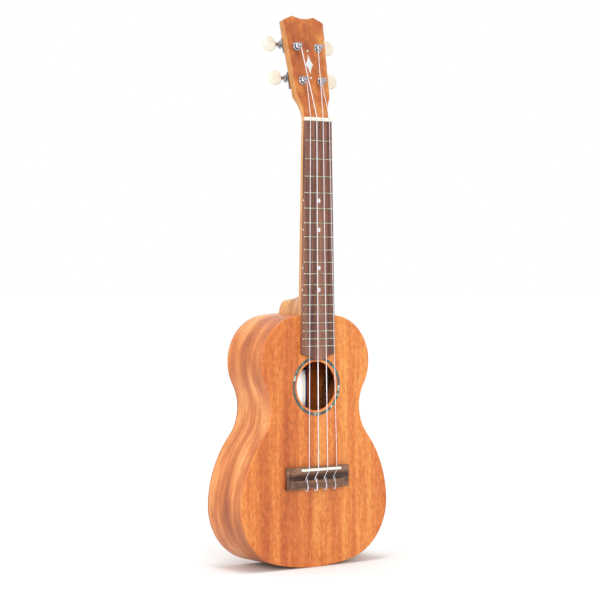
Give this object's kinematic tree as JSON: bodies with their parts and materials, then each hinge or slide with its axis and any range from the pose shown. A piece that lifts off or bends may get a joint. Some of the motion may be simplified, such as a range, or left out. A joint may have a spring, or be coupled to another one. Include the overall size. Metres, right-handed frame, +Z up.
{
  "type": "ukulele",
  "caption": "Concert ukulele with a hollow waisted body, a round soundhole, a fretted neck with a tilted headstock, nylon strings and worm-gear tuners.",
  "frame": {"origin": "below the middle of the instrument's depth, level with the tail end of the body", "axes": "+Z up from the tail to the headstock, +Y from the soundboard to the back, +X towards the treble side"},
  "size_m": [0.1986, 0.0785, 0.6055],
  "materials": {
    "top_wood": "satin mahogany soundboard",
    "body_wood": "satin mahogany back and sides",
    "neck_wood": "satin mahogany neck",
    "inner_wood": "bare wood",
    "rosewood": "oiled rosewood",
    "bone": "polished bone-white",
    "ivory": "gloss ivory",
    "shell": "iridescent shell under lacquer",
    "nickel": "polished nickel silver",
    "chrome": "polished chrome",
    "nylon": "clear nylon"
  },
  "bodies": {
    "instrument": {"soundboard": "top_wood", "back": "body_wood", "side_bass": "body_wood", "side_treble": "body_wood", "neck_block": "inner_wood", "tail_block": "inner_wood", "top_lining_bass": "inner_wood", "top_lining_treble": "inner_wood", "back_lining_bass": "inner_wood", "back_lining_treble": "inner_wood", "upper_brace": "inner_wood", "lower_brace": "inner_wood", "rosette": "shell", "bridge": "rosewood", "saddle": "bone", "neck": "neck_wood", "fretboard": "rosewood", "nut": "bone", "string_g": "nylon", "string_c": "nylon", "string_e": "nylon", "string_a": "nylon", "fret_01": "nickel", "fret_02": "nickel", "fret_03": "nickel", "fret_04": "nickel", "fret_05": "nickel", "fret_06": "nickel", "fret_07": "nickel", "fret_08": "nickel", "fret_09": "nickel", "fret_10": "nickel", "fret_11": "nickel", "fret_12": "nickel", "fret_13": "nickel", "fret_14": "nickel", "fret_15": "nickel", "fret_16": "nickel", "fret_17": "nickel", "fret_18": "nickel", "tuner_g_bushing": "chrome", "tuner_g_plate": "chrome", "tuner_c_bushing": "chrome", "tuner_c_plate": "chrome", "tuner_e_bushing": "chrome", "tuner_e_plate": "chrome", "tuner_a_bushing": "chrome", "tuner_a_plate": "chrome"},
    "knob_g": {"tuner_g_worm_shaft": "chrome", "tuner_g_button": "ivory"},
    "post_g": {"tuner_g_post": "chrome"},
    "knob_c": {"tuner_c_worm_shaft": "chrome", "tuner_c_button": "ivory"},
    "post_c": {"tuner_c_post": "chrome"},
    "knob_e": {"tuner_e_worm_shaft": "chrome", "tuner_e_button": "ivory"},
    "post_e": {"tuner_e_post": "chrome"},
    "knob_a": {"tuner_a_worm_shaft": "chrome", "tuner_a_button": "ivory"},
    "post_a": {"tuner_a_post": "chrome"}
  },
  "joints": [
    {"name": "knob_g_turn", "type": "hinge", "parent": "instrument", "child": "knob_g", "pos_m": [-0.0128, -0.00187, 0.53532], "axis": [1, 0, 0], "continuous": true},
    {"name": "post_g_turn", "type": "hinge", "parent": "instrument", "child": "post_g", "pos_m": [-0.0128, -0.01784, 0.53245], "axis": [0, 0.977, -0.213], "continuous": true},
    {"name": "knob_c_turn", "type": "hinge", "parent": "instrument", "child": "knob_c", "pos_m": [-0.0145, 0.00637, 0.57313], "axis": [1, 0, 0], "continuous": true},
    {"name": "post_c_turn", "type": "hinge", "parent": "instrument", "child": "post_c", "pos_m": [-0.0145, -0.0096, 0.57027], "axis": [0, 0.977, -0.213], "continuous": true},
    {"name": "knob_e_turn", "type": "hinge", "parent": "instrument", "child": "knob_e", "pos_m": [0.0145, 0.00637, 0.57313], "axis": [1, 0, 0], "continuous": true},
    {"name": "post_e_turn", "type": "hinge", "parent": "instrument", "child": "post_e", "pos_m": [0.0145, -0.0096, 0.57027], "axis": [0, 0.977, -0.213], "continuous": true},
    {"name": "knob_a_turn", "type": "hinge", "parent": "instrument", "child": "knob_a", "pos_m": [0.0128, -0.00187, 0.53532], "axis": [1, 0, 0], "continuous": true},
    {"name": "post_a_turn", "type": "hinge", "parent": "instrument", "child": "post_a", "pos_m": [0.0128, -0.01784, 0.53245], "axis": [0, 0.977, -0.213], "continuous": true}
  ],
  "couplings": [
    {"joint": "post_g_turn", "follows": "knob_g_turn", "ratio": -0.071429},
    {"joint": "post_c_turn", "follows": "knob_c_turn", "ratio": -0.071429},
    {"joint": "post_e_turn", "follows": "knob_e_turn", "ratio": -0.071429},
    {"joint": "post_a_turn", "follows": "knob_a_turn", "ratio": -0.071429}
  ]
}
